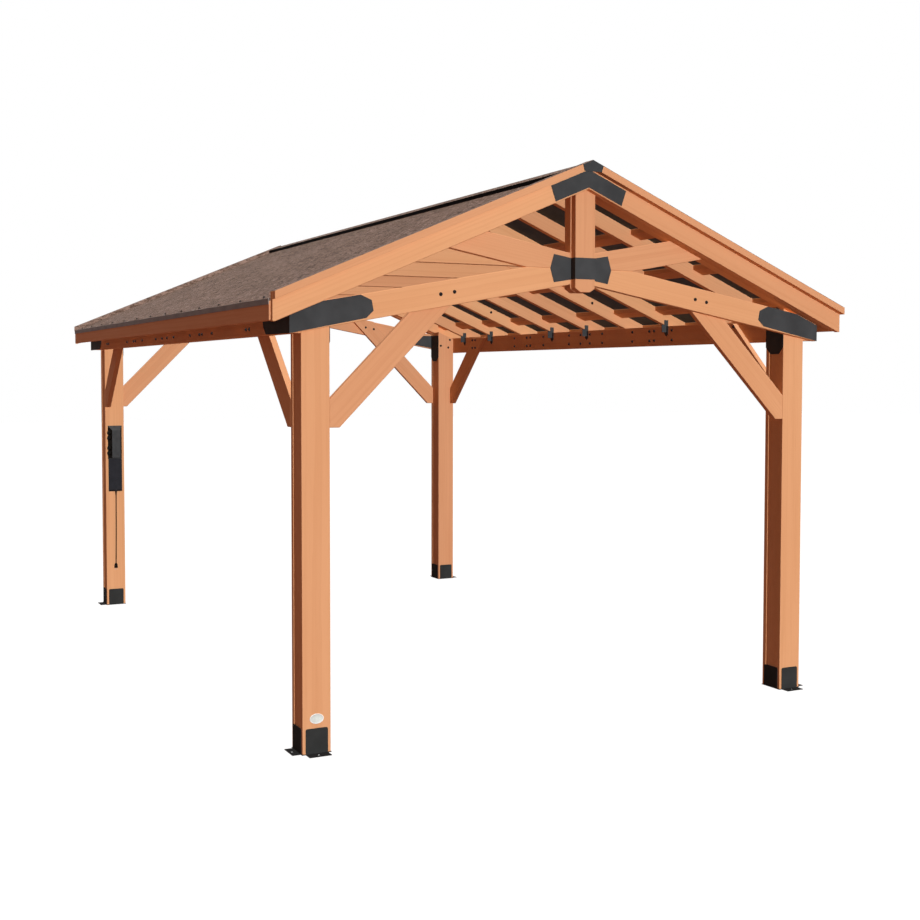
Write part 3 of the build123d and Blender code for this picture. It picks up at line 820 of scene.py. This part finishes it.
# Closed ribbed sheet on one slope: a wavy grid, thickened upwards, then tilted. Of
# every four rows of the grid two are high, and so are both edges of the sheet
def ribTree():
    tree = nodeGroup("ribbedSheet", ribSockets)
    given = addNode(tree, "NodeGroupInput").outputs
    ribs = calc(tree, "ROUND", calc(tree, "DIVIDE", given["Width"], given["Pitch"]))
    quarters = calc(tree, "MULTIPLY", ribs, 4.0)
    step = calc(tree, "DIVIDE", given["Width"], quarters)
    sizes = {"Size X": given["Run"], "Size Y": given["Width"], "Vertices X": 2}
    sizes["Vertices Y"] = calc(tree, "ADD", quarters, 1.0)
    grid = addNode(tree, "GeometryNodeMeshGrid", sizes).outputs[0]
    spot = addNode(tree, "GeometryNodeInputPosition").outputs[0]
    y = addNode(tree, "ShaderNodeSeparateXYZ", {0: spot}).outputs["Y"]
    fromEdge = calc(tree, "ADD", y, calc(tree, "MULTIPLY", given["Width"], 0.5))
    row = calc(tree, "ROUND", calc(tree, "DIVIDE", fromEdge, step))
    turn = calc(tree, "MODULO", calc(tree, "ADD", row, 2.0), 4.0)
    high = calc(tree, "COMPARE", turn, 1.5, 0.6)
    lift = addNode(tree, "ShaderNodeCombineXYZ", {"Z": calc(tree, "MULTIPLY", high, given["Rib"])})
    values = {"Geometry": grid, "Offset": lift.outputs[0]}
    wavy = addNode(tree, "GeometryNodeSetPosition", values).outputs[0]
    skin = calc(tree, "SUBTRACT", given["Thick"], given["Rib"])
    values = {"Mesh": wavy, "Offset": (0.0, 0.0, 1.0), "Offset Scale": skin, "Individual": False}
    raised = addNode(tree, "GeometryNodeExtrudeMesh", values).outputs["Mesh"]
    values = {"Geometry": raised, "Material": given["Top"]}
    raised = addNode(tree, "GeometryNodeSetMaterial", values).outputs[0]
    low = addNode(tree, "GeometryNodeFlipFaces", {"Mesh": wavy}).outputs[0]
    values = {"Geometry": low, "Material": given["Under"]}
    low = addNode(tree, "GeometryNodeSetMaterial", values).outputs[0]
    values = {"Geometry": join(tree, raised, low), "Distance": 0.00005}
    whole = addNode(tree, "GeometryNodeMergeByDistance", values).outputs[0]
    spot = addNode(tree, "GeometryNodeInputPosition").outputs[0]
    axes = addNode(tree, "ShaderNodeSeparateXYZ", {0: spot}).outputs
    shift = calc(tree, "MULTIPLY", calc(tree, "MULTIPLY", given["Run"], 0.5), given["Side"])
    x = calc(tree, "ADD", axes["X"], shift)
    drop = calc(tree, "MULTIPLY", calc(tree, "ABSOLUTE", x), given["Fall"])
    z = calc(tree, "ADD", axes["Z"], calc(tree, "SUBTRACT", given["Level"], drop))
    target = addNode(tree, "ShaderNodeCombineXYZ", {"X": x, "Y": axes["Y"], "Z": z})
    values = {"Geometry": whole, "Position": target.outputs[0]}
    tilted = addNode(tree, "GeometryNodeSetPosition", values).outputs[0]
    real = addNode(tree, "GeometryNodeRealizeInstances", {0: tilted}).outputs[0]
    addNode(tree, "NodeGroupOutput", {0: real})
    return tree


sheetLook = {"pitch": 0.019, "rib": 0.0035}


def addRoof():
    tree = ribTree()
    for name, side in sides.items():
        node = f"roof_sheet_{name}"
        low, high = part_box(node)
        sheet = link(f"ribbedSheet.{name}", bpy.data.meshes.new("sheet"))
        inputs = {
            "Run": high.x - low.x,
            "Width": high.y - low.y,
            "Thick": lines["sheetDeep"],
            "Pitch": sheetLook["pitch"],
            "Rib": sheetLook["rib"],
            "Side": float(side),
            "Level": lines["sheetTop"] - lines["sheetDeep"],
            "Fall": lines["pitch"],
            "Top": looks["roof"],
            "Under": looks["underside"],
        }
        place(settle(sheet, tree, inputs), "roof", node)
    # The rake flashings' faces that don't face up take paler granules, a painted sheen
    for end in ends:
        dressHard(f"rake_flashing_{end}", "rakePaintedSheen", "flashing", "flashing", "flashing")
    # The ridge cap's top takes the granules, and its other faces are painted near-black as painted
    # shade
    dressHard("ridge_cap", "ridgePaintedShade", "ridge_metal", "ridge", "flashing")
    dressHard("drip_edges", "dripEdge", "edge_metal")


addRoof()
print("roof")

fastenerSockets = {
    "Washer": "Float",
    "Washer Height": "Float",
    "Head": "Float",
    "Head Height": "Float",
    "Sides": "Int",
    "Seed": "Int",
    "Finish": "Material",
}


# Bolts and screws: a washer and a tapered head on each point, facing outwards
def fastenerTree():
    tree = nodeGroup("fasteners", fastenerSockets)
    source = addNode(tree, "NodeGroupInput").outputs
    rim = calc(tree, "MULTIPLY", source["Washer"], 0.92)
    sizes = {"Vertices": 24, "Radius Top": rim, "Radius Bottom": source["Washer"]}
    sizes["Depth"] = source["Washer Height"]
    washer = addNode(tree, "GeometryNodeMeshCone", sizes).outputs[0]
    crown = calc(tree, "MULTIPLY", source["Head"], 0.86)
    sizes = {"Vertices": source["Sides"], "Radius Top": crown, "Radius Bottom": source["Head"]}
    sizes["Depth"] = source["Head Height"]
    head = addNode(tree, "GeometryNodeMeshCone", sizes).outputs[0]
    lift = addNode(tree, "ShaderNodeCombineXYZ", {"Z": source["Washer Height"]}).outputs[0]
    values = {"Geometry": head, "Translation": lift}
    head = addNode(tree, "GeometryNodeTransform", values).outputs[0]
    bolt = join(tree, washer, head)
    facing = addNode(
        tree, "GeometryNodeInputNamedAttribute", {"Name": "facing"}, data_type="FLOAT_VECTOR"
    ).outputs["Attribute"]
    aim = addNode(tree, "FunctionNodeAlignRotationToVector", {"Vector": facing}, axis="Z")
    values = {"Max": 6.2832, "Seed": source["Seed"]}  # up to a full turn
    spin = addNode(tree, "FunctionNodeRandomValue", values, data_type="FLOAT")
    spin = next(o for o in spin.outputs if o.enabled)
    values = {"Axis": (0.0, 0.0, 1.0), "Angle": spin}
    turn = addNode(tree, "FunctionNodeAxisAngleToRotation", values).outputs[0]
    values = {"Rotation": aim.outputs[0], "Rotate By": turn}
    aimed = addNode(tree, "FunctionNodeRotateRotation", values, rotation_space="LOCAL").outputs[0]
    values = {"Points": source["Geometry"], "Instance": bolt, "Rotation": aimed}
    made = addNode(tree, "GeometryNodeInstanceOnPoints", values).outputs[0]
    real = addNode(tree, "GeometryNodeRealizeInstances", {0: made}).outputs[0]
    values = {"Geometry": real, "Material": source["Finish"]}
    done = addNode(tree, "GeometryNodeSetMaterial", values).outputs[0]
    addNode(tree, "NodeGroupOutput", {0: done})
    return tree


fixings = {
    "chordBolt": {"Washer": 0.0095, "Washer Height": 0.0020, "Head": 0.0070, "Head Height": 0.005},
    "beamBolt": {"Washer": 0.0095, "Washer Height": 0.0018, "Head": 0.0070, "Head Height": 0.0045},
    "roofScrew": {"Washer": 0.0085, "Washer Height": 0.0018, "Head": 0.0050, "Head Height": 0.005},
    "seeds": {"chordBolt": 3, "beamBolt": 5, "roofScrew": 7},
    "headSides": 6,
    "chordBoltsX": (0.716, 0.790),
    "chordBoltRise": 0.062,  # over the lower edge of the chord
    "beamBoltsY": (0.060, 0.215, 0.575, 1.010, 0.768, 0.820),
    "braceBoltsY": (1.603, 1.653),
    "beamBoltRows": (0.034, 0.097),  # over the lower edge of the beam
    "postScrews": ((0.031, 0.110), (0.119, 0.059), (0.047, 0.045)),
    "rafterBoltX": 1.225,
    "rafterBoltRise": 0.055,  # over the lower edge of the rafter
    "rafterBoltRows": (3, 6),
    "eaveScrewStep": 0.356,
    "eaveScrewsEachWay": 6,
    "eaveScrewIn": 0.028,
    "eaveScrewSunk": 0.001,
}
bolts = fastenerTree()


# Spots are pairs of a point and the way that its bolt faces
def addFasteners(name, kind, spots):
    mesh = bpy.data.meshes.new(name)
    mesh.from_pydata([spot for spot, way in spots], [], [])
    facing = mesh.attributes.new("facing", "FLOAT_VECTOR", "POINT")
    facing.data.foreach_set("vector", [c for spot, way in spots for c in way])
    inputs = {"Sides": fixings["headSides"], "Seed": fixings["seeds"][kind]}
    inputs.update({"Finish": looks["bolt"], **fixings[kind]})
    return place(settle(link(name, mesh), bolts, inputs), "steel")


def addChordBolts():
    slope = math.tan(math.radians(lines["chordAngle"]))
    level = lines["beamBottom"] - lines["chordDrop"] + slope * lines["beamOuter"]
    inner = lines["postY"] - lines["braceThick"]
    spots = []
    for end in ends.values():
        for side in sides.values():
            for x in fixings["chordBoltsX"]:
                z = level - slope * x + fixings["chordBoltRise"]
                spots.append(((side * x, end * lines["chordFace"], z), (0, end, 0)))
                spots.append(((side * x, end * inner, z), (0, -end, 0)))
    addFasteners("chordBolts", "chordBolt", spots)


def addBeamBolts():
    spots = []
    low, high = [lines["beamBottom"] + rise for rise in fixings["beamBoltRows"]]
    for side in sides.values():
        for reach in fixings["beamBoltsY"] + fixings["braceBoltsY"]:
            cover = lines["braceThick"] if reach in fixings["braceBoltsY"] else 0
            for y in (-reach, reach):
                for z in (low, high):
                    spots.append(((side * (lines["postX"] - cover), y, z), (-side, 0, 0)))
                spots.append(((side * lines["beamOuter"], y, low), (side, 0, 0)))
    boltX = fixings["rafterBoltX"]
    boltZ = roofZ(lines["rafterLevel"], boltX) + fixings["rafterBoltRise"]
    for end in ends.values():
        inner = end * (lines["postY"] - lines["postSize"])
        for side in sides.values():
            for inward, rise in fixings["postScrews"]:
                x = side * (lines["postX"] - inward)
                spots.append(((x, inner, lines["beamBottom"] + rise), (0, -end, 0)))
            for row in fixings["rafterBoltRows"]:
                y = (row - lines["middleRafter"]) * lines["rafterSpacing"]
                for way in (-1, 1):
                    spot = (side * boltX, y + way * lines["rafterHalf"], boltZ)
                    spots.append((spot, (0, way, 0)))
    addFasteners("beamBolts", "beamBolt", spots)


def addRoofScrews():
    spots = []
    x = lines["eaveX"] - fixings["eaveScrewIn"]
    z = roofZ(lines["sheetTop"], x) - fixings["eaveScrewSunk"]
    count = fixings["eaveScrewsEachWay"]
    for side in sides.values():
        up = Vector((side * lines["pitch"], 0, 1)).normalized()
        for i in range(-count, count + 1):
            spots.append(((side * x, i * fixings["eaveScrewStep"], z), tuple(up)))
    addFasteners("roofScrews", "roofScrew", spots)


addChordBolts()
addBeamBolts()
addRoofScrews()
print("bolts and screws")

# Socket box: its socket covers are black, its steep sides are painted black as painted shade, and
# the panel under it is banded
boxLook = {
    "join": 1.123,  # height where the housing stands on the panel
    "front": 2.0515,  # face of the panel
    "middle": -1.4185,
    "coverIn": 0.034,  # from the middle to where the socket covers begin
    "steep": 0.45,
    "bands": (0.019, 0.050, 0.078, 0.106),  # above the foot of the panel
    "band": (0.094, 0.0012, 0.0035),  # width, depth and height
    "foot": (0.100, 0.0008, 0.011),
}


def boxMesh(low, high):
    bm = bmesh.new()
    spots = []
    for x in (low.x, high.x):
        for y in (low.y, high.y):
            spots += [bm.verts.new((x, y, z)) for z in (low.z, high.z)]
    rings = ((0, 1, 3, 2), (4, 6, 7, 5), (0, 4, 5, 1), (2, 3, 7, 6), (0, 2, 6, 4), (1, 5, 7, 3))
    for ring in rings:
        bm.faces.new([spots[i] for i in ring])
    bmesh.ops.recalc_face_normals(bm, faces=bm.faces)
    return bm


def addSocketBox():
    piece = dressHard("socket_box", "housing", "socket_box", "box")
    mesh = piece.data
    mesh.materials.append(looks["cover"])
    mesh.materials.append(looks["panel"])
    coverX = boxLook["middle"] - boxLook["coverIn"]
    # Faces under the join take the panel; the socket covers and the steep sides take the black, on
    # the steep sides as painted shade
    for face in mesh.polygons:
        if face.center.z < boxLook["join"] - 0.001:
            face.material_index = 2
        elif abs(face.normal.x) > boxLook["steep"] or face.center.x < coverX:
            face.material_index = 1
    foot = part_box("socket_box")[0].z
    footTop = foot + boxLook["foot"][2]
    bm = bmesh.new()
    strips = [(boxLook["foot"], foot)]
    strips += [(boxLook["band"], foot + rise) for rise in boxLook["bands"]]
    for (width, deep, tall), low in strips:
        near = Vector((boxLook["middle"] - width / 2, boxLook["front"] - deep, low))
        far = Vector((boxLook["middle"] + width / 2, boxLook["front"] + 0.001, low + tall))
        strip = boxMesh(near, far)
        easeEdges(strip, *softened["strip"])
        addSolid(bm, strip)
    bands = finishMesh("panelBands", bm, looks["panel"], looks["cover"])
    for face in bands.data.polygons:
        face.material_index = 1 if face.center.z < footTop else 0
    place(bands, "socket_box")


addSocketBox()

ovalLook = {
    "steps": 64,
    # from the edge inwards: how far in, and how high as a share of the plate's depth
    "profile": (
        (0.0, 0.0),
        (0.0, 0.5),
        (0.0008, 0.9),
        (0.002, 1.0),
        (0.004, 0.9),
        (0.005, 0.55),
        (0.0085, 0.6),
    ),
    "rimBands": 4,
}


def addOval():
    low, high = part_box("oval_plate")
    middle = (low + high) / 2
    wide = (high.x - low.x) / 2
    tall = (high.z - low.z) / 2
    deep = high.y - low.y
    steps = ovalLook["steps"]
    bm = bmesh.new()
    rings = []
    for inset, height in ovalLook["profile"]:
        ring = []
        for i in range(steps):
            angle = 2 * math.pi * i / steps
            x = middle.x + (wide - inset) * math.cos(angle)
            z = middle.z + (tall - inset) * math.sin(angle)
            ring.append(bm.verts.new((x, high.y - deep * height, z)))
        rings.append(ring)
    bm.faces.new(rings[0])
    for number, (near, far) in enumerate(zip(rings, rings[1:])):
        for i in range(steps):
            j = (i + 1) % steps
            face = bm.faces.new((near[i], near[j], far[j], far[i]))
            face.material_index = 1 if number < ovalLook["rimBands"] else 0
            face.smooth = True
    bm.faces.new(rings[-1])
    plate = finishMesh("ovalPlate", bm, looks["oval"], looks["ovalRim"])
    place(plate, "oval_plate", "oval_plate")


addOval()
print("socket box and oval plate")
